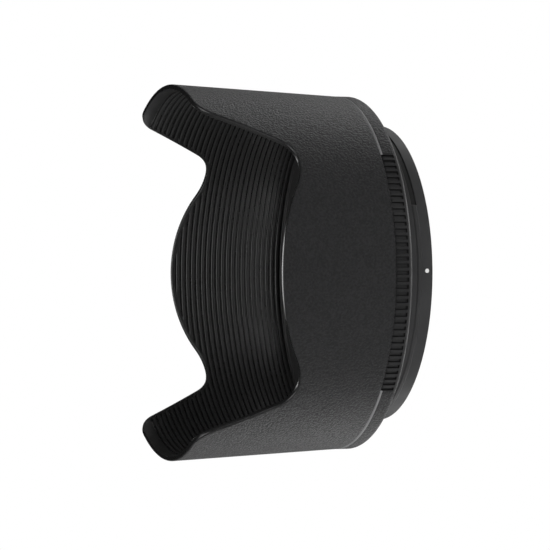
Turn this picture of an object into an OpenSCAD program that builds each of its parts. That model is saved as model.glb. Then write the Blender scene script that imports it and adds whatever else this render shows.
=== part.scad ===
// Petal lens hood with a bayonet mount ring and a sprung release lock.
//
// Row frame: the optical axis is X and the petals point to -X.  +Z is up and the two long
// petals lie on +Z and -Z.  The origin is on the optical axis in the mount ring's rear face.
// Every module is drawn about a local Z axis, on which s is the distance forward from the
// rear face.  hood_axis() lays that axis along -X, so local +x becomes up, local -y is the
// side with the index dot and local +y is the side with the lock.

/* [Petals] */
// Overall length, from the mount ring's rear face to the tips of the long petals
hood_length = 64.05; // [62:0.05:68]
// Length to the crest of each short petal
crest_length = 47.2; // [46:0.1:50]
// Length to the bottom of each valley between a short and a long petal
valley_length = 39.15; // [38:0.05:41]
// Angle round the hood from a short petal's centre to the valley beside it
valley_angle = 35.6; // [34:0.1:37]
// Radius of a short petal's rounded edge, on the unrolled wall
crest_edge_r = 53; // [50:1:60]
// Slope of a long petal's straight flank, on the unrolled wall
flank_slope = 58.8; // [55:0.1:62]
// Radius between the valley and a long petal's flank
flank_root_r = 8.7; // [6:0.1:10]
// Radius of a long petal's two corners
tip_corner_r = 9; // [5:0.5:11]

/* [Shell] */
// Outer radius of the shell where it meets the grip band
shell_rear_r = 51.26; // [51.2:0.02:51.6]
// Growth of the shell's radius per millimetre of length
shell_taper = 0.0467; // [0.03:0.001:0.06]
// Thickness of the shell's wall
shell_wall = 1.48; // [1.4:0.01:1.6]
// Distance between the light-trap grooves inside the shell
groove_pitch = 1.579; // [1.5:0.001:1.7]
// Depth of the light-trap grooves
groove_depth = 0.45; // [0.3:0.05:0.6]

/* [Grip band] */
// Outer radius of the grip band
band_r = 51.3; // [51.3:0.02:51.6]
// Rear edge of the grip band
band_rear_s = 9.0; // [8.94:0.02:9.1]
// Front edge of the grip band
band_front_s = 14.04; // [13.9:0.02:14.5]
// Number of finger grooves in each ribbed sector
rib_count = 37; // [15:2:41]
// Angle from one finger groove to the next
rib_pitch = 2.16; // [2:0.01:2.4]

/* [Mount ring] */
// Radius of the bore that slips over the lens barrel
bore_r = 41.5; // [41.4:0.05:41.6]
// Outer radius of the mount ring
ring_r = 43; // [42.95:0.05:43.05]
// Length of the plain bore behind the bayonet lugs
bore_length = 6.5; // [6:0.1:6.6]
// Radius that the bayonet lugs reach inward to
lug_tip_r = 39.7; // [39.2:0.1:40.2]
// Angle that each bayonet lug covers
lug_angle = 35; // [25:1:40]
// Diameter of the index dot
dot_d = 1.2; // [0.8:0.1:1.6]

/* [Lock] */
// Distance of the lock's pivot from the optical axis
pivot_r = 46.2; // [46.1:0.05:46.3]
// Radius of the pivot pin
pin_r = 0.75; // [0.6:0.05:0.9]
// Distance of the return spring from the pivot
spring_reach = 7; // [6.5:0.1:7.5]
// Mean radius of the return spring's coil
coil_r = 1.2; // [1.1:0.05:1.3]
// Diameter of the return spring's wire
wire_d = 0.3; // [0.2:0.05:0.35]

/* [Hidden] */
$fn = 96;
cut = 0.5;                                   // how far a cutting shape runs past a face

// Petal outline on the unrolled wall: x is the arc length at unroll_r from a short petal's
// centre, and every arc is tangent to the next.
unroll_r = 52.5;
mm_per_degree = unroll_r * PI / 180;
crest_centre_s = crest_length - crest_edge_r;
valley_x = valley_angle * mm_per_degree;
valley_drop = valley_length - crest_centre_s;
crest_root_r = (pow(valley_x, 2) + pow(valley_drop, 2) - pow(crest_edge_r, 2))
             / (2 * (crest_edge_r - valley_drop));
crest_end_x = valley_x * crest_edge_r / (crest_edge_r + crest_root_r);
flank_start_x = valley_x + flank_root_r * sin(flank_slope);
flank_start_s = valley_length + flank_root_r * (1 - cos(flank_slope));
tip_corner_x = flank_start_x + (hood_length - flank_start_s) / tan(flank_slope);
tip_tangent = tip_corner_r * tan(flank_slope / 2);
tip_start_x = tip_corner_x - tip_tangent * cos(flank_slope);
tip_end_x = tip_corner_x + tip_tangent;
rim_step = 2;                                // angle between the rim's stations

// Shell
spigot_r = 50.5;                             // the rear spigot that the grip band sits on
wall_rear_s = 10.3;
wall_front_s = 11.8;
wall_hole_r = 44;
groove_first_s = 12.74;
groove_last_s = 61;
groove_half_w = 0.45;
groove_floor_half_w = 0.15;

// Grip band
band_round = 1.5;                            // radius of the band's rear edge
band_chamfer = 0.3;
rib_groove_w = 1.05;
rib_groove_depth = 0.55;
rib_rear_s = band_rear_s + band_round - 0.07;

// Mount ring
flange_r = 49.6;
flange_t = wall_rear_s - band_rear_s;
relief_r = bore_r + 0.5;                     // room for the lens's own lugs to turn in
lug_rear_s = 6.8;
lug_t = 2.5;
stop_s = 9.9;                                // the lens barrel stops against this lip
stop_lip_r = 38.5;
pilot_r = 43.9;
pilot_front_s = 11.3;
ring_chamfer = 0.1;
bead_rear_s = 3.1;
bead_front_s = 4.6;
bead_h = 0.25;
recess_start = -64;                          // the recess runs between these two angles
recess_end = -8;
recess_depth = 0.35;
dot_s = 1.64;
dot_angle = -89.3;
dot_depth = 0.3;

// Screws that hold the mount ring to the shell
ring_screw_count = 4;
ring_screw_pcd_r = 46.8;
ring_screw_r = 0.8;
ring_screw_head_r = 1.5;
ring_screw_head_t = 0.9;
ring_screw_end_s = 11.4;

// Lock, in the local plane: t runs along the tangent and y is the distance from the axis
lock_half_w = 15.5;
lock_r = 51;
lock_rear_s = 2.6;
cover_t = 1.2;
cavity_half_w = 11.6;
cavity_front_s = 8.5;
cavity_floor_r = 43.6;
roof_inner_r = 50.1;
roof_edge_t = 1.1;
window_t = [5.7, 10];
window_s = [6.6, 8.5];
seat_y = 42.95;                              // the flat that the spring stands on
cover_screw_t = 13.5;
cover_screw_y = 45.8;
cover_screw_r = 0.6;
cover_screw_head_r = 1.25;
cover_screw_head_t = 0.7;
cover_screw_end_s = 10.1;

button_s = [2.9, 8.2];
button_t = [-10.4, 9.6];
bar_y = [45.2, 47.2];
pad_r = 52.3;
pad_end_t = 0.8;
pad_groove_count = 5;
pad_groove_pitch = 1.7;
pad_groove_w = 0.7;
pad_groove_depth = 0.4;
nose_t = [5.8, 9.2];
nose_s = [6.6, 8.2];
nose_y = 43.4;
tooth_t = [6.4, 8.6];
tooth_s = [6.85, 7.95];
tooth_tip_y = 39.7;
tooth_root_y = 45;
tooth_chamfer = 0.55;
pin_clearance = 0.05;
pin_rear_s = 1.9;

spring_s = 5.55;
spring_top_y = 46.6;
spring_turns = 4;
turn_steps = 14;
wire_sides = 6;
spring_room = 0.35;

// Radius of the shell's outside and inside at a distance s from the rear face
function outer_r(s) = shell_rear_r + shell_taper * (s - band_front_s);
function inner_r(s) = outer_r(s) - shell_wall;

// Angle from the nearest short petal's centre; the short petals are at -90 and +90 degrees
function fold(a) = let (b = abs(((a + 90) % 180 + 180) % 180)) min(b, 180 - b);

// Length of the hood at an angle a round the axis
function rim_s(a) = let (x = fold(a) * mm_per_degree)
    x < crest_end_x ? crest_centre_s + sqrt(pow(crest_edge_r, 2) - pow(x, 2))
    : x < valley_x ? valley_length + crest_root_r - sqrt(pow(crest_root_r, 2) - pow(valley_x - x, 2))
    : x < flank_start_x ? valley_length + flank_root_r - sqrt(pow(flank_root_r, 2) - pow(x - valley_x, 2))
    : x < tip_start_x ? flank_start_s + (x - flank_start_x) * tan(flank_slope)
    : x < tip_end_x ? hood_length - tip_corner_r + sqrt(pow(tip_corner_r, 2) - pow(tip_end_x - x, 2))
    : hood_length;

// The four points of one light-trap groove, front to rear, for the shell's section
function groove(s) = [
    [inner_r(s + groove_half_w), s + groove_half_w],
    [inner_r(s) + groove_depth, s + groove_floor_half_w],
    [inner_r(s) + groove_depth, s - groove_floor_half_w],
    [inner_r(s - groove_half_w), s - groove_half_w]];

// Lays the local s axis along the row's -X
module hood_axis() {
    rotate([0, -90, 0])
        children();
}

// A straight-sided ring between two radii and two distances from the rear face
module ring(r_in, r_out, s0, s1) {
    translate([0, 0, s0])
        difference() {
            cylinder(r = r_out, h = s1 - s0);
            translate([0, 0, -cut])
                cylinder(r = r_in, h = s1 - s0 + 2 * cut);
        }
}

// A box given by its span in t, y and s
module span(t, y, s) {
    translate([t[0], y[0], s[0]])
        cube([t[1] - t[0], y[1] - y[0], s[1] - s[0]]);
}

// A rod along the local s axis
module rod(t, y, s0, s1, r) {
    translate([t, y, s0])
        cylinder(r = r, h = s1 - s0, $fn = 48);
}

// A pan-head screw with a cross recess; its head is at the rear and its shank runs forward
module screw(shank_r, head_r, head_t, length) {
    difference() {
        union() {
            translate([0, 0, -head_t])
                cylinder(r = head_r, h = head_t, $fn = 48);
            cylinder(r = shank_r, h = length, $fn = 48);
        }
        for (turn = [0, 90])
            rotate([0, 0, turn])
                translate([-head_r * 0.6, -head_r * 0.13, -head_t - cut])
                    cube([head_r * 1.2, head_r * 0.26, head_t * 0.6 + cut]);
    }
}

// Places a child at each of the mount ring's screws
module at_ring_screws() {
    for (i = [0 : ring_screw_count - 1])
        rotate([0, 0, (i + 0.5) * 360 / ring_screw_count])
            translate([ring_screw_pcd_r, 0, 0])
                children();
}

// Places a child at each of the lock cover's screws
module at_cover_screws() {
    for (side = [-1, 1])
        translate([side * cover_screw_t, cover_screw_y, 0])
            children();
}

// Everything in front of the rim, as a ring whose rear face follows the petal outline
module petal_cutter() {
    count = 360 / rim_step;
    r_in = shell_rear_r - 4;
    r_out = shell_rear_r + 6;
    top_s = hood_length + 3;
    rim = [for (i = [0 : count - 1]) let (a = i * rim_step)
        each [[r_in * cos(a), r_in * sin(a), rim_s(a)],
              [r_out * cos(a), r_out * sin(a), rim_s(a)],
              [r_out * cos(a), r_out * sin(a), top_s],
              [r_in * cos(a), r_in * sin(a), top_s]]];
    faces = [for (i = [0 : count - 1], k = [0 : 3])
        let (j = (i + 1) % count, m = (k + 1) % 4)
            each [[4 * i + k, 4 * j + m, 4 * j + k],
                  [4 * i + k, 4 * i + m, 4 * j + m]]];
    polyhedron(points = rim, faces = faces);
}

module petal_shell() {
    grooves = [for (s = [groove_last_s - (groove_last_s - groove_first_s) % groove_pitch
                         : -groove_pitch : groove_first_s - groove_pitch / 2])
        each groove(s)];
    section = concat(
        [[wall_hole_r, wall_rear_s],
         [spigot_r, wall_rear_s],
         [spigot_r, band_front_s],
         [outer_r(band_front_s), band_front_s],
         [outer_r(hood_length), hood_length],
         [inner_r(hood_length), hood_length]],
        grooves,
        [[inner_r(wall_front_s), wall_front_s],
         [wall_hole_r, wall_front_s]]);
    color("#2b2b2e")
        hood_axis()
            difference() {
                rotate_extrude()
                    polygon(section);
                petal_cutter();
                at_ring_screws()
                    translate([0, 0, wall_rear_s - cut])
                        cylinder(r = ring_screw_r, h = ring_screw_end_s - wall_rear_s + cut, $fn = 48);
            }
}

// One ribbed sector's finger grooves, centred on the short petal at the angle given
module finger_grooves(centre) {
    for (i = [0 : rib_count - 1])
        rotate([0, 0, centre + (i - (rib_count - 1) / 2) * rib_pitch])
            span([band_r - rib_groove_depth, band_r + cut], [-rib_groove_w / 2, rib_groove_w / 2],
                 [rib_rear_s, band_front_s + cut]);
}

module grip_band() {
    rear_edge = [for (a = [0 : 15 : 90])
        [band_r - band_round * (1 - sin(a)), band_rear_s + band_round * (1 - cos(a))]];
    section = concat(
        rear_edge,
        [[band_r, band_front_s - band_chamfer],
         [band_r - band_chamfer, band_front_s],
         [spigot_r, band_front_s],
         [spigot_r, wall_rear_s],
         [flange_r, wall_rear_s],
         [flange_r, band_rear_s]]);
    color("#303032")
        hood_axis()
            difference() {
                rotate_extrude()
                    polygon(section);
                for (centre = [-90, 90])
                    finger_grooves(centre);
            }
}

module mount_ring() {
    section = [
        [bore_r, 0],
        [ring_r - ring_chamfer, 0],
        [ring_r, ring_chamfer],
        [ring_r, bead_rear_s],
        [ring_r + bead_h, bead_rear_s + bead_h],
        [ring_r + bead_h, bead_front_s - bead_h],
        [ring_r, bead_front_s],
        [ring_r, band_rear_s],
        [flange_r, band_rear_s],
        [flange_r, wall_rear_s],
        [pilot_r, wall_rear_s],
        [pilot_r, pilot_front_s],
        [stop_lip_r, pilot_front_s],
        [stop_lip_r, stop_s],
        [relief_r, stop_s],
        [relief_r, bore_length],
        [bore_r, bore_length]];
    color("#343436")
        hood_axis() {
            difference() {
                rotate_extrude()
                    polygon(section);
                // The recess that takes the bead's place above the index dot
                rotate([0, 0, recess_start])
                    rotate_extrude(angle = recess_end - recess_start)
                        translate([ring_r - recess_depth, bead_rear_s])
                            square([bead_h + recess_depth + cut, bead_front_s - bead_rear_s]);
                // The seat of the lock housing, free of the bead
                intersection() {
                    ring(ring_r, lock_r, bead_rear_s - cut, band_rear_s);
                    span([-lock_half_w, lock_half_w], [0, lock_r], [0, band_rear_s]);
                }
                span(window_t, [bore_r - 6, ring_r + cut], window_s);
                rotate([0, 0, dot_angle])
                    translate([ring_r - dot_depth, 0, dot_s])
                        rotate([0, 90, 0])
                            cylinder(d = dot_d, h = 1, $fn = 48);
                at_ring_screws()
                    translate([0, 0, band_rear_s - cut])
                        cylinder(r = ring_screw_r + 0.15, h = flange_t + 2 * cut, $fn = 48);
                at_cover_screws()
                    translate([0, 0, band_rear_s - cut])
                        cylinder(r = cover_screw_r, h = cover_screw_end_s - band_rear_s + cut, $fn = 48);
            }
            for (centre = [-90, 30, 150])
                rotate([0, 0, centre - lug_angle / 2])
                    rotate_extrude(angle = lug_angle)
                        translate([lug_tip_r, lug_rear_s])
                            square([relief_r - lug_tip_r + 0.4, lug_t]);
        }
}

module index_dot() {
    color("white")
        hood_axis()
            rotate([0, 0, dot_angle])
                translate([ring_r - dot_depth, 0, dot_s])
                    rotate([0, 90, 0])
                        cylinder(d = dot_d, h = dot_depth, $fn = 48);
}

module ring_screws() {
    color("#4a4a4c")
        hood_axis()
            at_ring_screws()
                translate([0, 0, band_rear_s])
                    screw(ring_screw_r, ring_screw_head_r, ring_screw_head_t,
                          ring_screw_end_s - band_rear_s);
}

module lock_housing() {
    color("#2e2e30")
        hood_axis()
            difference() {
                intersection() {
                    ring(ring_r, lock_r, lock_rear_s, band_rear_s);
                    span([-lock_half_w, lock_half_w], [0, lock_r + cut], [lock_rear_s, band_rear_s]);
                }
                // Room for the button's arm, under a curved roof
                intersection() {
                    ring(cavity_floor_r, roof_inner_r, lock_rear_s - cut, cavity_front_s);
                    span([-cavity_half_w, cavity_half_w], [0, lock_r], [lock_rear_s - cut, cavity_front_s]);
                }
                // The opening that the thumb pad comes out of
                intersection() {
                    ring(cavity_floor_r, lock_r + cut, lock_rear_s - cut, cavity_front_s);
                    span([-cavity_half_w, roof_edge_t], [0, lock_r + cut], [lock_rear_s - cut, cavity_front_s]);
                }
                span(window_t, [ring_r - 3, pivot_r - 1], window_s);
                translate([-spring_reach, seat_y, spring_s])
                    rotate([-90, 0, 0])
                        cylinder(r = coil_r + spring_room, h = 2, $fn = 48);
                rod(0, pivot_r, cavity_front_s - cut, band_rear_s + cut, pin_r);
                at_cover_screws()
                    translate([0, 0, lock_rear_s - cut])
                        cylinder(r = cover_screw_r + 0.15, h = band_rear_s - lock_rear_s + 2 * cut, $fn = 48);
            }
}

module lock_cover() {
    cover_rear_s = lock_rear_s - cover_t;
    color("#333335")
        hood_axis()
            difference() {
                intersection() {
                    ring(ring_r, lock_r, cover_rear_s, lock_rear_s);
                    span([-lock_half_w, lock_half_w], [0, lock_r + cut], [cover_rear_s, lock_rear_s]);
                }
                rod(0, pivot_r, pin_rear_s, lock_rear_s + cut, pin_r);
                at_cover_screws() {
                    translate([0, 0, cover_rear_s - cut])
                        cylinder(r = cover_screw_r + 0.15, h = cover_t + 2 * cut, $fn = 48);
                    translate([0, 0, cover_rear_s - cut])
                        cylinder(r = cover_screw_head_r + 0.1, h = cover_screw_head_t + cut, $fn = 48);
                }
            }
}

module cover_screws() {
    head_face_s = lock_rear_s - cover_t + cover_screw_head_t;
    color("#4a4a4c")
        hood_axis()
            at_cover_screws()
                translate([0, 0, head_face_s])
                    screw(cover_screw_r, cover_screw_head_r, cover_screw_head_t,
                          cover_screw_end_s - head_face_s);
}

module release_button() {
    color("#262628")
        hood_axis()
            difference() {
                union() {
                    span(button_t, bar_y, button_s);
                    rod(0, pivot_r, button_s[0], button_s[1], 1.9);
                    intersection() {
                        span([button_t[0], pad_end_t], [bar_y[0], pad_r], button_s);
                        ring(ring_r, pad_r, button_s[0], button_s[1]);
                    }
                    span(nose_t, [nose_y, bar_y[1]], nose_s);
                }
                for (i = [0 : pad_groove_count - 1])
                    rotate([0, 0, 2.5 + i * pad_groove_pitch * 180 / PI / pad_r])
                        span([-pad_groove_w / 2, pad_groove_w / 2], [pad_r - pad_groove_depth, pad_r + cut],
                             [button_s[0] - cut, button_s[1] + cut]);
                rod(0, pivot_r, button_s[0] - cut, button_s[1] + cut, pin_r + pin_clearance);
                translate([-spring_reach, bar_y[0] - cut, spring_s])
                    rotate([-90, 0, 0])
                        cylinder(r = coil_r + spring_room, h = spring_top_y - bar_y[0] + cut, $fn = 48);
                span(tooth_t, [nose_y - cut, tooth_root_y], tooth_s);
            }
}

module latch_tooth() {
    color("#8c8c90")
        hood_axis()
            translate([0, 0, tooth_s[0]])
                linear_extrude(height = tooth_s[1] - tooth_s[0])
                    polygon([[tooth_t[0], tooth_root_y],
                             [tooth_t[0], tooth_tip_y + tooth_chamfer],
                             [tooth_t[0] + tooth_chamfer, tooth_tip_y],
                             [tooth_t[1] - tooth_chamfer, tooth_tip_y],
                             [tooth_t[1], tooth_tip_y + tooth_chamfer],
                             [tooth_t[1], tooth_root_y]]);
}

module pivot_pin() {
    color("#9a9a9e")
        hood_axis()
            rod(0, pivot_r, pin_rear_s, band_rear_s, pin_r);
}

// The return spring, as a wire swept along a helix about the local y axis
module return_spring() {
    stations = spring_turns * turn_steps;
    rise = spring_top_y - seat_y - wire_d;
    wire = [for (i = [0 : stations], k = [0 : wire_sides - 1])
        let (turn = 360 * i / turn_steps,
             side = 360 * k / wire_sides,
             r = coil_r + wire_d / 2 * cos(side),
             y = seat_y + wire_d / 2 + rise * i / stations + wire_d / 2 * sin(side))
            [r * cos(turn) - spring_reach, y, r * sin(turn) + spring_s]];
    sides = [for (i = [0 : stations - 1], k = [0 : wire_sides - 1])
        let (m = (k + 1) % wire_sides, here = i * wire_sides, next = here + wire_sides)
            each [[here + k, here + m, next + m],
                  [here + k, next + m, next + k]]];
    first_end = [for (k = [wire_sides - 1 : -1 : 0]) k];
    last_end = [for (k = [0 : wire_sides - 1]) stations * wire_sides + k];
    color("#b0b0b4")
        hood_axis()
            polyhedron(points = wire, faces = concat(sides, [first_end, last_end]));
}

petal_shell();
grip_band();
mount_ring();
index_dot();
ring_screws();
lock_housing();
lock_cover();
cover_screws();
release_button();
latch_tooth();
pivot_pin();
return_spring();
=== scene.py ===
"""A petal lens hood in a plain white studio.

Sizes are in millimetres and are turned into metres where a mesh is made.  A place on the hood
is given by its angle round the optical axis, its radius and its distance s forward from the
mount ring's rear face.  Angle 0 is up, -90 degrees is the side with the index dot and +90 the
side with the lock.
"""

import math

import bmesh
import bpy
import numpy as np
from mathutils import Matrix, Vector


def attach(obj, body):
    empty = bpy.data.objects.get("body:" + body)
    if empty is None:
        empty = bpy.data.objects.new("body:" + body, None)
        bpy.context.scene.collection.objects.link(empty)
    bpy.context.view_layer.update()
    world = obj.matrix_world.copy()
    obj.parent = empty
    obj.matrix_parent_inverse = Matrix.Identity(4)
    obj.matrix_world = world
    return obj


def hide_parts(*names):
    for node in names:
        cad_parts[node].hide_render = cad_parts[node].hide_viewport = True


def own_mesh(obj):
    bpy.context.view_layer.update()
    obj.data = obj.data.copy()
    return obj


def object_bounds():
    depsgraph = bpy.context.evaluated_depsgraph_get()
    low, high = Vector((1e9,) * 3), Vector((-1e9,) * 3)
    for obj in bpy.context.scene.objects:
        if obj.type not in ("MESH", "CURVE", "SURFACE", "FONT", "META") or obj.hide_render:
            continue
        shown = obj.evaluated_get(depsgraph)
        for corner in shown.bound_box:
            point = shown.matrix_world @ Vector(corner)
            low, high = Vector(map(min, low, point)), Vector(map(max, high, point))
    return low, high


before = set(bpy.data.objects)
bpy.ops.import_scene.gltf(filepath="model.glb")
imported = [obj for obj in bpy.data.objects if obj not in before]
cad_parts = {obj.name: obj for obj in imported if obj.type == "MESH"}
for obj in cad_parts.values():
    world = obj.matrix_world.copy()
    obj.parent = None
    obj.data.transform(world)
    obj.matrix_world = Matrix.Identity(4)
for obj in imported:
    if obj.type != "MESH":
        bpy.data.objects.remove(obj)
cad_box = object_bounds()

MM = 0.001

# Petal outline, on the wall unrolled at UNROLL_R
HOOD_LENGTH = 64.05
CREST_LENGTH = 47.2
VALLEY_LENGTH = 39.15
VALLEY_ANGLE = 35.6
CREST_EDGE_R = 53.0
FLANK_SLOPE = math.radians(58.8)
FLANK_ROOT_R = 8.7
TIP_CORNER_R = 9.0
UNROLL_R = 52.5

# Shell
SHELL_REAR_R = 51.26
SHELL_TAPER = 0.0467
SHELL_WALL = 1.48
SPIGOT_R = 50.5
WALL_REAR_S = 10.3
WALL_FRONT_S = 11.8
WALL_HOLE_R = 44.0
GROOVE_FIRST_S = 12.74
GROOVE_PITCH = 1.579
GROOVE_COUNT = 31
GROOVE_DEPTH = 0.45
# A light-trap groove's section: (millimetres forward of its middle, depth)
GROOVE_SECTION = ((0.48, 0.0), (0.33, 0.06), (0.1, GROOVE_DEPTH),
                  (-0.1, GROOVE_DEPTH), (-0.33, 0.06), (-0.48, 0.0))
GROOVE_FADE = 0.5            # over this length a groove runs out at the margin
SMOOTH_MARGIN = 0.8          # the grooves fade out this far from the rim
LIP_OUTER_R = 0.5
LIP_INNER_R = 0.25
REAR_EDGE_R = 0.3            # rounding of the shell's rear edge, in front of the grip band
SHELL_STATIONS = 400
SPATTER_SCALE = 1600.0       # grains of the outer paint per metre
SPATTER_HEIGHT = 0.085

# Grip band
BAND_R = 51.3
BAND_REAR_S = 9.0
BAND_FRONT_S = 14.04
BAND_ROUND = 1.5
RIB_COUNT = 37
RIB_PITCH = 2.16
RIB_GROOVE_W = 1.05
RIB_GROOVE_DEPTH = 0.55
RIB_REAR_S = 10.43
RIB_CENTRES = (-90, 90)
# A rib groove's wall: (millimetres in from the groove's edge, share of the full depth)
RIB_WALL = ((-0.12, 0.0), (-0.03, 0.06), (0.0, 0.25), (0.05, 0.85), (0.12, 1.0))
CHAMFER_REACH = 0.45         # how far back the front edge's painted highlight reaches
CHAMFER_DEPTH = 0.35         # and how far in

# Mount ring
BORE_R = 41.5
RING_R = 43.0
FLANGE_R = 49.6
PILOT_R = 43.9
PILOT_FRONT_S = 11.3
STOP_LIP_R = 38.5
STOP_S = 9.9
RELIEF_R = 42.0
BORE_LENGTH = 6.5
LUG_TIP_R = 39.7
LUG_S = (6.8, 9.3)
LUG_HALF_ANGLE = 17.5
LUG_CENTRES = (-90.0, 30.0, 150.0)
BEAD_S = (3.1, 4.6)
BEAD_H = 0.25
RECESS_SPAN = (-64.0, -8.0)
RECESS_DEPTH = 0.35
SEAT_SPAN = (68.9, 111.1)    # the bead leaves this room for the lock housing
WINDOW_Z = (5.7, 10.0)
WINDOW_S = (6.6, 8.5)
DOT_S = 1.64
DOT_ANGLE = -89.3
DOT_R = 0.6
DOT_DEPTH = 0.3

# Return spring
SPRING_S = 5.55
SPRING_REACH = 7.0
SPRING_SEAT_Y = 42.95
SPRING_TOP_Y = 46.6
SPRING_TURNS = 4
COIL_R = 1.2
WIRE_R = 0.15


# ---------------------------------------------------------------- geometry helpers

def at(angle, r, s):
    """The position, in metres, of a place on the hood; angle is in radians."""
    return np.stack([-s * MM, r * np.sin(angle) * MM, r * np.cos(angle) * MM], axis=-1)


def outer_r(s):
    return SHELL_REAR_R + SHELL_TAPER * (s - BAND_FRONT_S)


def inner_r(s):
    return outer_r(s) - SHELL_WALL


def grid_mesh(name, points, closed_rows=True):
    """A mesh of quads from points[row, column]; columns close round the axis."""
    rows, columns = points.shape[:2]
    index = np.arange(rows * columns).reshape(rows, columns)
    below = index if closed_rows else index[:-1]
    above = np.roll(index, -1, axis=0) if closed_rows else index[1:]
    quads = np.stack([below, np.roll(below, -1, axis=1), np.roll(above, -1, axis=1), above], axis=-1)
    mesh = bpy.data.meshes.new(name)
    mesh.from_pydata(points.reshape(-1, 3).tolist(), [], quads.reshape(-1, 4).tolist())
    return mesh


def finish_mesh(mesh, sharp_angle):
    """Welds collapsed points, turns the faces outward and shades them smooth between sharp edges."""
    bm = bmesh.new()
    bm.from_mesh(mesh)
    bmesh.ops.remove_doubles(bm, verts=bm.verts, dist=2e-6)
    bmesh.ops.dissolve_degenerate(bm, edges=bm.edges, dist=1e-6)
    bmesh.ops.recalc_face_normals(bm, faces=bm.faces)
    for face in bm.faces:
        face.smooth = True
    bm.to_mesh(mesh)
    bm.free()
    mesh.set_sharp_from_angle(angle=math.radians(sharp_angle))


def with_modifier(mesh, kind, **settings):
    """The mesh as one modifier leaves it."""
    carrier = bpy.data.objects.new(mesh.name, mesh)
    bpy.context.scene.collection.objects.link(carrier)
    modifier = carrier.modifiers.new(kind.lower(), kind)
    for key, value in settings.items():
        setattr(modifier, key, value)
    result = bpy.data.meshes.new_from_object(carrier.evaluated_get(bpy.context.evaluated_depsgraph_get()))
    bpy.data.objects.remove(carrier)
    return result


def rounded_section(corners, steps=4):
    """A closed section's points; each corner is (radius, s, how far its rounding reaches)."""
    section = []
    for i, (r, s, reach) in enumerate(corners):
        corner = np.array((r, s))
        if reach == 0:
            section.append(corner)
            continue
        before = np.array(corners[i - 1][:2]) - corner
        after = np.array(corners[(i + 1) % len(corners)][:2]) - corner
        for t in np.linspace(0, 1, steps + 1):
            section.append(corner + reach * (1 - t)**2 * before / np.linalg.norm(before)
                           + reach * t**2 * after / np.linalg.norm(after))
    return section


def share(value, start, end, ramp):
    """1 between start and end and 0 outside them, with a straight ramp centred on each."""
    return np.clip((value - start) / ramp + 0.5, 0, 1) * np.clip((end - value) / ramp + 0.5, 0, 1)


def place_of(face):
    """(angle in degrees, r, s) of the middle of a face."""
    centre = face.center / MM
    return math.degrees(math.atan2(centre.y, centre.z)), math.hypot(centre.y, centre.z), -centre.x


def add_piece(name, mesh, body, node, materials):
    """Links a mesh as a piece that stands for a CAD node and rides on its body."""
    piece = bpy.data.objects.new(name, mesh)
    bpy.context.scene.collection.objects.link(piece)
    for material in materials:
        mesh.materials.append(material)
    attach(piece, body)
    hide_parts(node)
    return piece


# ---------------------------------------------------------------- petal shell

def rim_s(x):
    """Length of the hood where the unrolled wall is x away from a short petal's centre line."""
    quarter = UNROLL_R * math.pi / 2
    x = np.abs((x + quarter) % (2 * quarter) - quarter)
    centre_s = CREST_LENGTH - CREST_EDGE_R
    valley_x = VALLEY_ANGLE * math.pi / 180 * UNROLL_R
    drop = VALLEY_LENGTH - centre_s
    root_r = (valley_x**2 + drop**2 - CREST_EDGE_R**2) / (2 * (CREST_EDGE_R - drop))
    crest_end = valley_x * CREST_EDGE_R / (CREST_EDGE_R + root_r)
    flank_x = valley_x + FLANK_ROOT_R * math.sin(FLANK_SLOPE)
    flank_s = VALLEY_LENGTH + FLANK_ROOT_R * (1 - math.cos(FLANK_SLOPE))
    corner_x = flank_x + (HOOD_LENGTH - flank_s) / math.tan(FLANK_SLOPE)
    tangent = TIP_CORNER_R * math.tan(FLANK_SLOPE / 2)
    tip_start = corner_x - tangent * math.cos(FLANK_SLOPE)
    tip_end = corner_x + tangent

    def arc(radius, offset):
        return np.sqrt(np.maximum(radius**2 - offset**2, 0))

    return np.select(
        [x < crest_end, x < valley_x, x < flank_x, x < tip_start, x < tip_end],
        [centre_s + arc(CREST_EDGE_R, x),
         VALLEY_LENGTH + root_r - arc(root_r, valley_x - x),
         VALLEY_LENGTH + FLANK_ROOT_R - arc(FLANK_ROOT_R, x - valley_x),
         flank_s + (x - flank_x) * math.tan(FLANK_SLOPE),
         HOOD_LENGTH - TIP_CORNER_R + arc(TIP_CORNER_R, tip_end - x)],
        HOOD_LENGTH)


def rim_inset(x, margin):
    """The rim's outline moved back by margin, square to the rim."""
    reach = np.linspace(-margin, margin, 81)
    bow = np.sqrt(np.maximum(margin**2 - reach**2, 0))
    return (rim_s(x[:, None] + reach[None, :]) - bow[None, :]).min(axis=1)


def rim_normal(x):
    """Unit vector in the unrolled wall, square to the rim and pointing off the petal."""
    step = 0.01
    slope = (rim_s(x + step) - rim_s(x - step)) / (2 * step)
    size = np.sqrt(1 + slope**2)
    return -slope / size, 1 / size


def groove_rows():
    """(s, depth) of every row of the light-trap grooves, from the front one to the rear one."""
    return [(GROOVE_FIRST_S + k * GROOVE_PITCH + offset, depth)
            for k in reversed(range(GROOVE_COUNT)) for offset, depth in GROOVE_SECTION]


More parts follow.
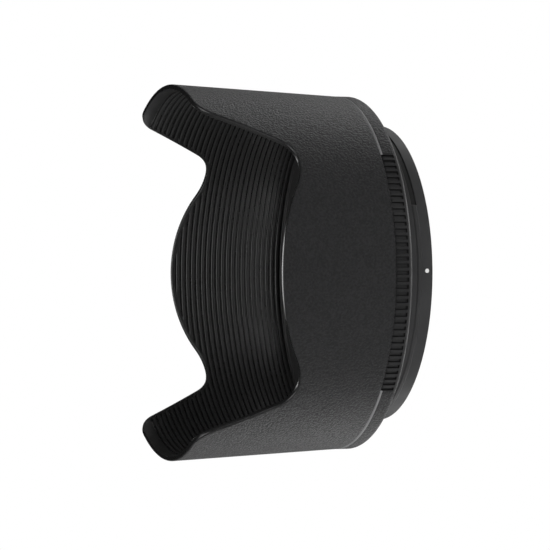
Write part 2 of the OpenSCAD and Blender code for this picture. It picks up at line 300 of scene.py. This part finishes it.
def shell_mesh():
    """The shell as one closed grid; each row is a ring and every ring has the same stations."""
    x = np.arange(SHELL_STATIONS) / SHELL_STATIONS * 2 * math.pi * UNROLL_R
    rim = rim_s(x)
    nx, ns = rim_normal(x)
    rows = []

    def add(x_row, r_row, s_row):
        angle = x_row / UNROLL_R - math.pi / 2
        rows.append(at(angle, r_row + np.zeros_like(x), s_row + np.zeros_like(x)))

    def add_lip(back, depth):
        s = rim - back * ns
        add(x - back * nx, outer_r(s) - depth, s)

    for t in np.linspace(0, math.pi / 2, 4):
        add(x, SHELL_REAR_R - REAR_EDGE_R * (1 - math.sin(t)), BAND_FRONT_S + REAR_EDGE_R * (1 - math.cos(t)))
    outer_limit = rim_inset(x, LIP_OUTER_R + 0.3)
    for t in np.linspace(0.01, 1, 20):
        s = BAND_FRONT_S + REAR_EDGE_R + (outer_limit - BAND_FRONT_S - REAR_EDGE_R) * t
        add(x, outer_r(s), s)
    for turn in np.linspace(0, math.pi / 2, 6):
        add_lip(LIP_OUTER_R * (1 - math.sin(turn)), LIP_OUTER_R * (1 - math.cos(turn)))
    for turn in np.linspace(0, math.pi / 2, 6):
        add_lip(LIP_INNER_R * (1 - math.cos(turn)), SHELL_WALL - LIP_INNER_R * (1 - math.sin(turn)))
    inner_limit = rim_inset(x, SMOOTH_MARGIN)
    add(x, inner_r(inner_limit), inner_limit)
    for row_s, depth in groove_rows():
        s = np.minimum(row_s, inner_limit)
        fade = np.clip((inner_limit - s) / GROOVE_FADE, 0, 1)
        add(x, inner_r(s) + depth * fade * fade * (3 - 2 * fade), s)
    for r, s in ((inner_r(WALL_FRONT_S + 0.3), WALL_FRONT_S + 0.3),
                 (inner_r(WALL_FRONT_S) - 0.09, WALL_FRONT_S + 0.09),
                 (inner_r(WALL_FRONT_S) - 0.3, WALL_FRONT_S),
                 (WALL_HOLE_R + 0.2, WALL_FRONT_S),
                 (WALL_HOLE_R, WALL_FRONT_S - 0.2),
                 (WALL_HOLE_R, WALL_REAR_S),
                 (SPIGOT_R, WALL_REAR_S),
                 (SPIGOT_R, BAND_FRONT_S)):
        add(x, r, s)
    return grid_mesh("petal_shell", np.array(rows))


def build_shell(paint, liner, rim):
    """The shell: paint outside, liner inside and behind the band, rim plastic on the petals' edge."""
    mesh = shell_mesh()
    finish_mesh(mesh, 50)
    shell = add_piece("petal_shell_skin", mesh, "hood", "petal_shell", [paint, liner, rim])
    for face in mesh.polygons:
        _, r, s = place_of(face)
        if r > outer_r(s) - LIP_OUTER_R / 2 and s > BAND_FRONT_S:
            face.material_index = 0
        elif s < BAND_FRONT_S or r < inner_r(s) + 0.03 or face.center.x * face.normal.x < 0:
            face.material_index = 1
        else:
            face.material_index = 2
    return shell


# ---------------------------------------------------------------- grip band

def sorted_stations(plain_step, features):
    """Column angles in degrees: an even ring, with the features' own columns in place of it."""
    plain = [a for a in np.arange(-180, 180, plain_step)
             if all(not lo - 0.4 * plain_step < a < hi + 0.4 * plain_step for lo, hi, _ in features)]
    own = [a for _, _, angles in features for a in angles]
    return np.array(sorted(plain + own))


def rib_columns():
    """(angle, share of the full depth) for every column of the finger grooves."""
    per_mm = 180 / (math.pi * BAND_R)
    columns = []
    for centre in RIB_CENTRES:
        for i in range(RIB_COUNT):
            middle = centre + (i - (RIB_COUNT - 1) / 2) * RIB_PITCH
            for side in (-1, 1):
                for offset, depth in RIB_WALL:
                    columns.append((middle + side * (RIB_GROOVE_W / 2 - offset) * per_mm, depth))
    return sorted(columns)


def build_band(plastic, groove_painted_shade, paint, painted_highlight_edge):
    """The ribbed sectors are plain plastic, and the rest is painted, its front edge in a light colour that
    paints a highlight.
    """
    ribs = rib_columns()
    half = RIB_COUNT / 2 * RIB_PITCH
    features = []
    for centre in RIB_CENTRES:
        inside = [a for a, _ in ribs if abs(a - centre) < half + 1]
        features.append((min(inside), max(inside), inside))
    angles = sorted_stations(1.0, features)
    depth = np.interp(angles, [a for a, _ in ribs], [d for _, d in ribs], left=0, right=0)
    depth[np.abs(np.abs(angles) - 90) > half] = 0
    rear = [(BAND_R - BAND_ROUND * (1 - math.sin(t)), BAND_REAR_S + BAND_ROUND * (1 - math.cos(t)), 0)
            for t in np.linspace(0, math.pi / 2 * 0.93, 9)]
    section = rear + [
        (BAND_R, RIB_REAR_S, 0.05),
        (BAND_R, RIB_REAR_S + 0.06, 0.4),
        (BAND_R, RIB_REAR_S + 0.14, 1),
        (BAND_R, 12.0, 1),
        (BAND_R, BAND_FRONT_S - 0.5, 1),
        (BAND_R - 0.04, BAND_FRONT_S - 0.3, 1),
        (BAND_R - 0.24, BAND_FRONT_S - 0.1, 0.8),
        (BAND_R - 0.3, BAND_FRONT_S, 0.7),
        (SPIGOT_R, BAND_FRONT_S, 0),
        (SPIGOT_R, WALL_REAR_S, 0),
        (FLANGE_R + 0.05, WALL_REAR_S, 0),
        (FLANGE_R + 0.05, BAND_REAR_S + 0.1, 0),
        (FLANGE_R + 0.15, BAND_REAR_S, 0)]
    radians = np.radians(angles)
    rows = [at(radians, np.maximum(r - RIB_GROOVE_DEPTH * depth * mask, SPIGOT_R if mask else r),
               np.full_like(radians, s)) for r, s, mask in section]
    mesh = grid_mesh("grip_band", np.array(rows))
    finish_mesh(mesh, 40)
    for face in mesh.polygons:
        angle, r, s = place_of(face)
        # The walls of the rib grooves take a darker plastic that paints the shade in the grooves.
        on_wall = BAND_R - 0.85 * RIB_GROOVE_DEPTH < r < BAND_R - 0.1 * RIB_GROOVE_DEPTH
        if RIB_REAR_S < s < BAND_FRONT_S - 0.35 and on_wall:
            face.material_index = 1
        elif abs(abs(angle) - 90) > half:
            # The front edge takes a light colour: a painted highlight along the seam.
            on_edge = BAND_FRONT_S - CHAMFER_REACH < s and r > BAND_R - CHAMFER_DEPTH
            face.material_index = 3 if on_edge else 2
    return add_piece("grip_band_ring", mesh, "hood", "grip_band",
                     [plastic, groove_painted_shade, paint, painted_highlight_edge])


# ---------------------------------------------------------------- mount ring

def ring_mesh():
    """The ring's section turned round the axis, with the bead, the recess and the lugs in it."""
    bead_rows = [(RING_R, s, 0) for s in np.arange(BEAD_S[0] - 0.3, BEAD_S[1] + 0.35, 0.08)]
    lug_rows = [(RELIEF_R, s, 0) for s in np.arange(LUG_S[1] + 0.3, LUG_S[0] - 0.25, -0.1)]
    section = rounded_section(
        [(BORE_R, 0, 0.25), (RING_R, 0, 0.12)] + bead_rows
        + [(RING_R, BAND_REAR_S, 0), (FLANGE_R, BAND_REAR_S, 0.1), (FLANGE_R, WALL_REAR_S, 0),
           (PILOT_R, WALL_REAR_S, 0), (PILOT_R, PILOT_FRONT_S, 0.15), (STOP_LIP_R, PILOT_FRONT_S, 0.2),
           (STOP_LIP_R, STOP_S, 0.12), (RELIEF_R, STOP_S, 0)] + lug_rows
        + [(RELIEF_R, BORE_LENGTH, 0), (BORE_R, BORE_LENGTH, 0.15)])
    ends = [*RECESS_SPAN, *SEAT_SPAN]
    for centre in LUG_CENTRES:
        ends += [centre - LUG_HALF_ANGLE, centre + LUG_HALF_ANGLE]
    features = [(end - 0.3, end + 0.3, [end - 0.3, end - 0.1, end + 0.1, end + 0.3]) for end in ends]
    angles = sorted_stations(1.0, features)
    in_recess = share(angles, *RECESS_SPAN, 0.4)
    on_bead = (1 - in_recess) * (1 - share(angles, *SEAT_SPAN, 0.4))
    on_lug = sum(share(angles, centre - LUG_HALF_ANGLE, centre + LUG_HALF_ANGLE, 0.4)
                 for centre in LUG_CENTRES)
    rows = []
    for r, s in section:
        change = np.zeros_like(angles)
        if r > RING_R - 0.01 and s < BAND_REAR_S - 1:
            change = (BEAD_H * share(s, BEAD_S[0] + 0.15, BEAD_S[1] - 0.15, 0.4) * on_bead
                      - RECESS_DEPTH * share(s, *BEAD_S, 0.16) * in_recess)
        elif abs(r - RELIEF_R) < 0.01:
            change = (LUG_TIP_R - RELIEF_R) * share(s, *LUG_S, 0.2) * on_lug
        rows.append(at(np.radians(angles), r + change, np.full_like(angles, s)))
    return grid_mesh("mount_ring", np.array(rows))


def disc_mesh(name, radius, rings):
    """A round plug let into the ring at the index dot; rings holds (share of radius, height)."""
    turn = np.linspace(0, 2 * math.pi, 48, endpoint=False)
    rows = []
    for size, height in rings:
        sideways = radius * size * np.cos(turn) / RING_R
        rows.append(at(math.radians(DOT_ANGLE) + sideways, RING_R + height + 0 * turn,
                       DOT_S + radius * size * np.sin(turn)))
    return grid_mesh(name, np.array(rows), closed_rows=False)


def box_mesh(name, x, y, z):
    bm = bmesh.new()
    bmesh.ops.create_cube(bm, size=1.0)
    for vert in bm.verts:
        vert.co = [(lo + hi) / 2 * MM + share_of * (hi - lo) * MM
                   for share_of, (lo, hi) in zip(vert.co, (x, y, z))]
    mesh = bpy.data.meshes.new(name)
    bm.to_mesh(mesh)
    bm.free()
    return mesh


def take_away(mesh, cutter):
    """The mesh without the cutter's volume."""
    tool = bpy.data.objects.new("cutter", cutter)
    bpy.context.scene.collection.objects.link(tool)
    result = with_modifier(mesh, "BOOLEAN", object=tool, operation="DIFFERENCE", solver="EXACT")
    bpy.data.objects.remove(tool)
    return result


def build_ring(plastic, recess_painted_shade):
    """The ring with the latch's window and the dot's seat cut out of it."""
    mesh = ring_mesh()
    finish_mesh(mesh, 40)
    window = box_mesh("window", (-WINDOW_S[1], -WINDOW_S[0]), (BORE_R - 3, RING_R + 1), WINDOW_Z)
    mesh = take_away(mesh, window)
    recess = disc_mesh("dot_recess", DOT_R + 0.03, ((0, 0.5), (1, 0.5), (1, -DOT_DEPTH), (0, -DOT_DEPTH)))
    finish_mesh(recess, 40)
    mesh = take_away(mesh, recess)
    finish_mesh(mesh, 32)
    for face in mesh.polygons:
        angle, r, s = place_of(face)
        # The recess floor takes a darker plastic that paints the shade in the recess.
        in_recess = RECESS_SPAN[0] < angle < RECESS_SPAN[1] and BEAD_S[0] < s < BEAD_S[1]
        if in_recess and BORE_R + 0.5 < r < RING_R - RECESS_DEPTH / 2:
            face.material_index = 1
    return add_piece("mount_ring_body", mesh, "hood", "mount_ring", [plastic, recess_painted_shade])


def build_dot(material):
    """A dot of thick paint that stands up a little in the middle."""
    mesh = disc_mesh("index_dot", DOT_R, (
        (0, 0.03), (0.35, 0.028), (0.7, 0.018), (0.9, 0.0), (1, -0.04), (1, 0.01 - DOT_DEPTH),
        (0, 0.01 - DOT_DEPTH)))
    finish_mesh(mesh, 50)
    return add_piece("index_dot_paint", mesh, "hood", "index_dot", [material])


# ---------------------------------------------------------------- lock and screws

def build_bevelled(node, name, body, material, rounding, segments=3):
    """The CAD solid's own mesh, its flat faces joined up and its edges rounded off."""
    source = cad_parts[node]
    bm = bmesh.new()
    bm.from_mesh(source.data)
    bm.transform(source.matrix_world)
    bmesh.ops.remove_doubles(bm, verts=bm.verts, dist=1e-6)
    bmesh.ops.dissolve_limit(bm, angle_limit=math.radians(1), verts=bm.verts, edges=bm.edges)
    joined = bpy.data.meshes.new(node)
    bm.to_mesh(joined)
    bm.free()
    mesh = with_modifier(joined, "BEVEL", width=rounding * MM, segments=segments, limit_method="ANGLE",
                         angle_limit=math.radians(35))
    finish_mesh(mesh, 30)
    return add_piece(name, mesh, body, node, [material])


def build_spring(material):
    """A coil of round wire whose end turns lie almost flat."""
    t = np.linspace(0, 1, SPRING_TURNS * 32 + 1)
    turn = 2 * math.pi * SPRING_TURNS * t
    rise = SPRING_TOP_Y - SPRING_SEAT_Y - 2 * WIRE_R
    height = SPRING_SEAT_Y + WIRE_R + rise * (t - 0.6 * np.sin(2 * math.pi * t) / (2 * math.pi))
    around = np.linspace(0, 2 * math.pi, 12, endpoint=False)
    wire_r = np.full_like(t, WIRE_R)
    wire_r = np.concatenate(([0], wire_r, [0]))[:, None]
    turn = np.concatenate((turn[:1], turn, turn[-1:]))[:, None]
    height = np.concatenate((height[:1], height, height[-1:]))[:, None]
    reach = COIL_R + wire_r * np.cos(around)
    points = np.stack([-(SPRING_S + reach * np.sin(turn)),
                       height + wire_r * np.sin(around),
                       -SPRING_REACH + reach * np.cos(turn)], axis=-1) * MM
    mesh = grid_mesh("return_spring", points, closed_rows=False)
    finish_mesh(mesh, 50)
    spring = add_piece("return_spring_coil", mesh, "hood", "return_spring", [material])
    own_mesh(spring)
    return spring


# ---------------------------------------------------------------- materials

def new_material(name):
    material = bpy.data.materials.new(name)
    material.use_nodes = True
    return material, material.node_tree, material.node_tree.nodes["Principled BSDF"]


def node(tree, kind, inputs=None, **settings):
    """Adds a node; inputs maps a socket's name to a value or to another node's output."""
    made = tree.nodes.new(kind)
    for key, value in settings.items():
        setattr(made, key, value)
    for key, value in (inputs or {}).items():
        if isinstance(value, bpy.types.NodeSocket):
            tree.links.new(value, made.inputs[key])
        else:
            made.inputs[key].default_value = value
    return made


def grains(tree, position, scale, detail=2.0, roughness=0.5):
    """Fractal noise of a given number of grains per metre."""
    return node(tree, "ShaderNodeTexNoise",
                {"Vector": position, "Scale": scale, "Detail": detail, "Roughness": roughness}).outputs["Fac"]


def remap(tree, value, low, high, to_low, to_high):
    return node(tree, "ShaderNodeMapRange",
                {"Value": value, "From Min": low, "From Max": high, "To Min": to_low, "To Max": to_high}
                ).outputs["Result"]


def blend_colour(tree, factor, first, second):
    mix = node(tree, "ShaderNodeMix", data_type="RGBA")
    tree.links.new(factor, mix.inputs["Factor"])
    mix.inputs["A"].default_value = (*first, 1)
    mix.inputs["B"].default_value = (*second, 1)
    return mix.outputs["Result"]


def stretched(tree, position, x, y, z):
    return node(tree, "ShaderNodeMapping", {"Vector": position, "Scale": (x, y, z)}).outputs["Vector"]


def add_bump(tree, shader, height, strength, depth, below=None):
    """Bump of a depth in millimetres, over another bump's normal if there is one."""
    bump = node(tree, "ShaderNodeBump", {"Height": height, "Strength": strength, "Distance": depth * MM})
    if below is not None:
        tree.links.new(below, bump.inputs["Normal"])
    tree.links.new(bump.outputs["Normal"], shader.inputs["Normal"])
    return bump.outputs["Normal"]


def spatter_paint():
    """Black spatter paint: a dense, irregular coat of fine grains over a rougher film."""
    material, tree, shader = new_material("spatter_paint")
    position = node(tree, "ShaderNodeTexCoord").outputs["Object"]
    lumps = remap(tree, grains(tree, position, SPATTER_SCALE, detail=2.0, roughness=0.6), 0.38, 0.66, 0, 1)
    tooth = add_bump(tree, shader, grains(tree, position, 5200), 0.5, 0.05)
    add_bump(tree, shader, lumps, 1.0, SPATTER_HEIGHT, below=tooth)
    tree.links.new(blend_colour(tree, lumps, (0.0115, 0.0115, 0.012), (0.0195, 0.0195, 0.0205)),
                   shader.inputs["Base Color"])
    tree.links.new(remap(tree, lumps, 0.0, 0.8, 0.6, 0.46), shader.inputs["Roughness"])
    shader.inputs["Specular IOR Level"].default_value = 0.22
    shader.inputs["Sheen Weight"].default_value = 0.14
    shader.inputs["Sheen Roughness"].default_value = 0.3
    return material


def moulded_plastic(name, dark, light, rough_low, rough_high, tooth=4200, depth=0.03, gloss=0.5):
    """Moulded black plastic: a fine tooth, slow changes of gloss and a few rubbed spots."""
    material, tree, shader = new_material(name)
    position = node(tree, "ShaderNodeTexCoord").outputs["Object"]
    fine = grains(tree, position, tooth, detail=2.0)
    slow = grains(tree, position, 90, detail=3.0)
    rubbed = remap(tree, grains(tree, position, 420, detail=5.0, roughness=0.7), 0.56, 0.72, 0, 1)
    add_bump(tree, shader, fine, 0.6, depth)
    tree.links.new(blend_colour(tree, slow, dark, light), shader.inputs["Base Color"])
    base = remap(tree, slow, 0.3, 0.7, rough_high, rough_low)
    polished = node(tree, "ShaderNodeMath", {0: rubbed, 1: -0.08, 2: base}, operation="MULTIPLY_ADD")
    tree.links.new(polished.outputs[0], shader.inputs["Roughness"])
    shader.inputs["Specular IOR Level"].default_value = gloss
    return material


def worked_steel(name, dark, light, rough_low, rough_high, lay):
    """Metal with fine tool marks; lay stretches the marks along the axis with the smallest number."""
    material, tree, shader = new_material(name)
    position = node(tree, "ShaderNodeTexCoord").outputs["Object"]
    marks = grains(tree, stretched(tree, position, *lay), 1, detail=4.0, roughness=0.7)
    stains = grains(tree, position, 700, detail=4.0)
    add_bump(tree, shader, marks, 0.35, 0.012)
    tree.links.new(blend_colour(tree, stains, dark, light), shader.inputs["Base Color"])
    tree.links.new(remap(tree, marks, 0.3, 0.7, rough_low, rough_high), shader.inputs["Roughness"])
    shader.inputs["Metallic"].default_value = 1.0
    return material


def dot_paint():
    """White enamel with a slightly uneven film."""
    material, tree, shader = new_material("dot_paint")
    position = node(tree, "ShaderNodeTexCoord").outputs["Object"]
    film = grains(tree, position, 3200, detail=3.0)
    add_bump(tree, shader, film, 0.3, 0.03)
    tree.links.new(blend_colour(tree, film, (0.86, 0.86, 0.85), (0.93, 0.93, 0.92)),
                   shader.inputs["Base Color"])
    tree.links.new(remap(tree, film, 0.3, 0.7, 0.5, 0.36), shader.inputs["Roughness"])
    return material


# ---------------------------------------------------------------- studio

def add_area(name, location, target, size_x, size_y, power):
    light = bpy.data.lights.new(name, "AREA")
    light.shape = "RECTANGLE"
    light.size = size_x
    light.size_y = size_y
    light.energy = power
    lamp = bpy.data.objects.new(name, light)
    lamp.location = location
    lamp.rotation_euler = (Vector(target) - Vector(location)).to_track_quat("-Z", "Y").to_euler()
    lamp.visible_camera = False
    bpy.context.scene.collection.objects.link(lamp)
    return lamp


FLOOR_R = 3.0
FLOOR_Z = -0.75
CAMERA_AZIMUTH = math.radians(-19.05)
CAMERA_DISTANCE = 0.7188
CAMERA_LENS = 162.7
CAMERA_AIM = (0.00061, -0.00015, -0.00065)   # from the middle of the hood's box, in metres
WORLD_GLOW = 0.01            # what the backdrop adds to the light; the camera sees it as white
CARD_FROM_RIM = (-0.049, 0.142, 0.0)
CARD_SIZE = 0.06
CARD_POWER = 0.0016
CARD_SPREAD = math.radians(34)

# Name, place from the hood's middle in metres, width, height and power in watts
STUDIO_LIGHTS = (
    ("light_above", (0.3, 0.25, 0.5), 0.35, 0.35, 1.2),
    ("light_below", (0.3, 0.25, -0.5), 0.35, 0.35, 1.2),
    ("light_left", (-0.5, -0.1, 0.0), 0.4, 0.3, 1.1),
    ("light_front_high", (-0.35, -0.6, 0.6), 0.4, 0.4, 1.9),
    ("light_front_low", (-0.35, -0.6, -0.6), 0.4, 0.4, 1.9),
    ("light_side_high", (0.3, -0.6, 0.6), 0.4, 0.4, 1.2),
    ("light_side_low", (0.3, -0.6, -0.6), 0.4, 0.4, 1.2),
    ("light_front_right", (0.22, -0.9, 0.0), 0.35, 0.9, 0.9),
    ("light_near_right", (0.11, -0.14, 0.0), 0.06, 0.2, 0.055),
    ("light_rear_right", (0.8, 0.1, 0.0), 0.3, 0.7, 4.0),
    ("light_far", (0.62, 0.52, 0.0), 0.16, 0.5, 1.6))


def build_studio():
    """A white backdrop that lights the hood very little, and the lamps that do."""
    scene = bpy.context.scene
    scene.view_settings.view_transform = "Standard"
    world = bpy.data.worlds.new("studio")
    scene.world = world
    world.use_nodes = True
    tree = world.node_tree
    background = tree.nodes["Background"]
    seen = node(tree, "ShaderNodeLightPath").outputs["Is Camera Ray"]
    tree.links.new(remap(tree, seen, 0, 1, WORLD_GLOW, 1.0), background.inputs["Strength"])
    background.inputs["Color"].default_value = (1, 1, 1, 1)
    centre = (cad_box[0] + cad_box[1]) / 2
    for name, place, size_x, size_y, power in STUDIO_LIGHTS:
        add_area(name, centre + Vector(place), centre, size_x, size_y, power)
    # A small card that the near short petal's flat rim mirrors; its beam misses the long petals
    near_rim = Vector(at(-math.pi / 2, UNROLL_R, CREST_LENGTH).tolist())
    card_place = near_rim + Vector(CARD_FROM_RIM)
    card = add_area("light_card", card_place, near_rim, CARD_SIZE, CARD_SIZE, CARD_POWER)
    card.data.spread = CARD_SPREAD


def build_floor():
    """A pale disc below the lower light, as bright to the camera as the backdrop behind it."""
    bm = bmesh.new()
    bmesh.ops.create_circle(bm, cap_ends=True, radius=FLOOR_R, segments=96)
    bmesh.ops.translate(bm, verts=bm.verts, vec=(0, 0, FLOOR_Z))
    mesh = bpy.data.meshes.new("floor")
    bm.to_mesh(mesh)
    bm.free()
    material, tree, shader = new_material("pale_floor")
    position = node(tree, "ShaderNodeTexCoord").outputs["Object"]
    clouding = grains(tree, position, 3.0, detail=3.0)
    tree.links.new(blend_colour(tree, clouding, (0.86, 0.86, 0.86), (0.9, 0.9, 0.9)),
                   shader.inputs["Base Color"])
    seen = node(tree, "ShaderNodeLightPath").outputs["Is Camera Ray"]
    tree.links.new(remap(tree, seen, 0, 1, 0.0, 1.0), shader.inputs["Emission Strength"])
    shader.inputs["Emission Color"].default_value = (1, 1, 1, 1)
    shader.inputs["Roughness"].default_value = 0.9
    mesh.materials.append(material)
    floor = bpy.data.objects.new("floor", mesh)
    bpy.context.scene.collection.objects.link(floor)


def build_camera():
    """The view is level and 19 degrees round towards the petals' open end."""
    aim = (cad_box[0] + cad_box[1]) / 2 + Vector(CAMERA_AIM)
    camera = bpy.data.cameras.new("camera")
    camera.sensor_width = 36
    camera.lens = CAMERA_LENS
    camera.clip_end = 20
    eye = bpy.data.objects.new("camera", camera)
    eye.location = aim + CAMERA_DISTANCE * Vector((math.sin(CAMERA_AZIMUTH), -math.cos(CAMERA_AZIMUTH), 0))
    eye.rotation_euler = (math.pi / 2, 0, CAMERA_AZIMUTH)
    bpy.context.scene.collection.objects.link(eye)
    bpy.context.scene.camera = eye


def build_lock():
    """The release lock on the far side, and the screws that hold it and the ring."""
    housing = moulded_plastic("lock_plastic", (0.016, 0.016, 0.017), (0.024, 0.024, 0.025), 0.42, 0.54)
    button = moulded_plastic("button_plastic", (0.012, 0.012, 0.012), (0.019, 0.019, 0.02), 0.3, 0.42,
                             tooth=2600, depth=0.04)
    screw = worked_steel("blackened_steel", (0.05, 0.05, 0.052), (0.11, 0.11, 0.115), 0.34, 0.5,
                         (900, 5200, 5200))
    tooth = worked_steel("ground_steel", (0.42, 0.42, 0.43), (0.55, 0.55, 0.56), 0.24, 0.4,
                         (900, 7000, 7000))
    pin = worked_steel("drawn_steel", (0.5, 0.5, 0.5), (0.62, 0.62, 0.61), 0.2, 0.32, (600, 6000, 6000))
    build_bevelled("lock_housing", "lock_housing_body", "hood", housing, 0.18)
    build_bevelled("lock_cover", "lock_cover_plate", "hood", housing, 0.15)
    build_bevelled("release_button", "release_button_lever", "button", button, 0.15)
    build_bevelled("latch_tooth", "latch_tooth_blade", "button", tooth, 0.08)
    build_bevelled("pivot_pin", "pivot_pin_rod", "hood", pin, 0.1)
    build_bevelled("ring_screws", "ring_screw_heads", "hood", screw, 0.1)
    build_bevelled("cover_screws", "cover_screw_heads", "hood", screw, 0.08)
    build_spring(pin)


build_camera()
build_studio()
build_floor()
paint = spatter_paint()
build_shell(paint,
            moulded_plastic("grooved_liner", (0.015, 0.015, 0.015), (0.022, 0.022, 0.022), 0.36, 0.46),
            moulded_plastic("rim_plastic", (0.008, 0.008, 0.008), (0.013, 0.013, 0.013), 0.22, 0.3,
                            depth=0.01))
build_band(moulded_plastic("band_plastic", (0.01, 0.01, 0.0105), (0.015, 0.015, 0.0155), 0.48, 0.6,
                           gloss=0.25),
           # a darker plastic that paints the shade on the rib grooves' walls
           moulded_plastic("band_groove_painted_shade", (0.004, 0.004, 0.004), (0.007, 0.007, 0.007), 0.6, 0.7,
                           gloss=0.15),
           paint,
           # a light colour that paints the highlight on the band's front edge
           moulded_plastic("painted_highlight_edge", (0.22, 0.22, 0.225), (0.32, 0.32, 0.325), 0.3, 0.42))
build_ring(moulded_plastic("ring_plastic", (0.027, 0.027, 0.0275), (0.038, 0.038, 0.039), 0.55, 0.66,
                           gloss=0.25),
           # a darker plastic that paints the shade in the ring's recess
           moulded_plastic("recess_painted_shade", (0.011, 0.011, 0.011), (0.018, 0.018, 0.018), 0.6, 0.7,
                           gloss=0.2))
build_dot(dot_paint())
build_lock()
